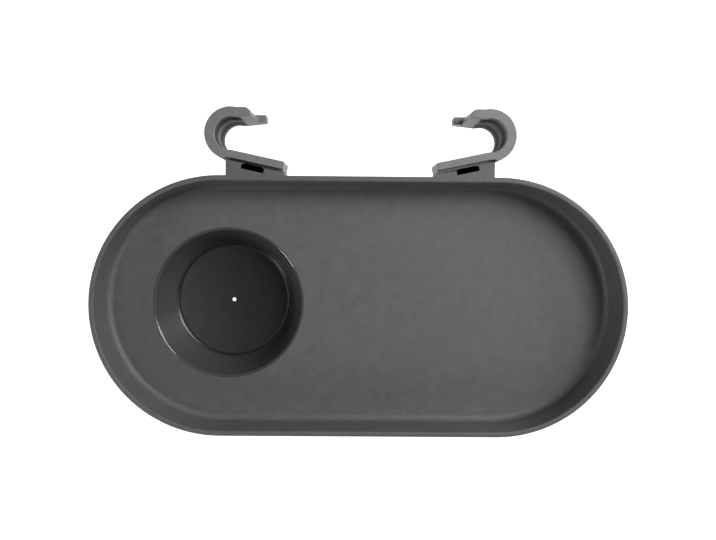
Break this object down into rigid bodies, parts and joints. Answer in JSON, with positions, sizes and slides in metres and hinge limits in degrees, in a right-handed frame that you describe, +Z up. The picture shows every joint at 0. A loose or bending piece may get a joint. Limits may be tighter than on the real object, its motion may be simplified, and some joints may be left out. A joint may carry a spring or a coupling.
{
  "type": "cup holder tray",
  "caption": "Stadium-shaped side tray with a sunk cup well, hung from two upright chair tubes by C-shaped clips that slide into its brackets.",
  "frame": {"origin": "midway between the axes of the two tube seats, level with the tray's rim", "axes": "+X to the right along the tray, +Y from the tray towards the clips and the chair, +Z up"},
  "size_m": [0.3326, 0.2024, 0.0534],
  "materials": {
    "tray_plastic": "satin, finely textured, dark warm grey",
    "clip_plastic": "satin, finely mottled, dark grey, lighter than the tray"
  },
  "bodies": {
    "tray": {"tray": "tray_plastic"},
    "left_clip": {"left_clip": "clip_plastic"},
    "right_clip": {"right_clip": "clip_plastic"}
  },
  "joints": [
    {"name": "left_clip_slide", "type": "slide", "parent": "tray", "child": "left_clip", "axis": [0, 0, -1], "range_m": [0, 0.025]},
    {"name": "right_clip_slide", "type": "slide", "parent": "tray", "child": "right_clip", "axis": [0, 0, -1], "range_m": [0, 0.025]}
  ]
}
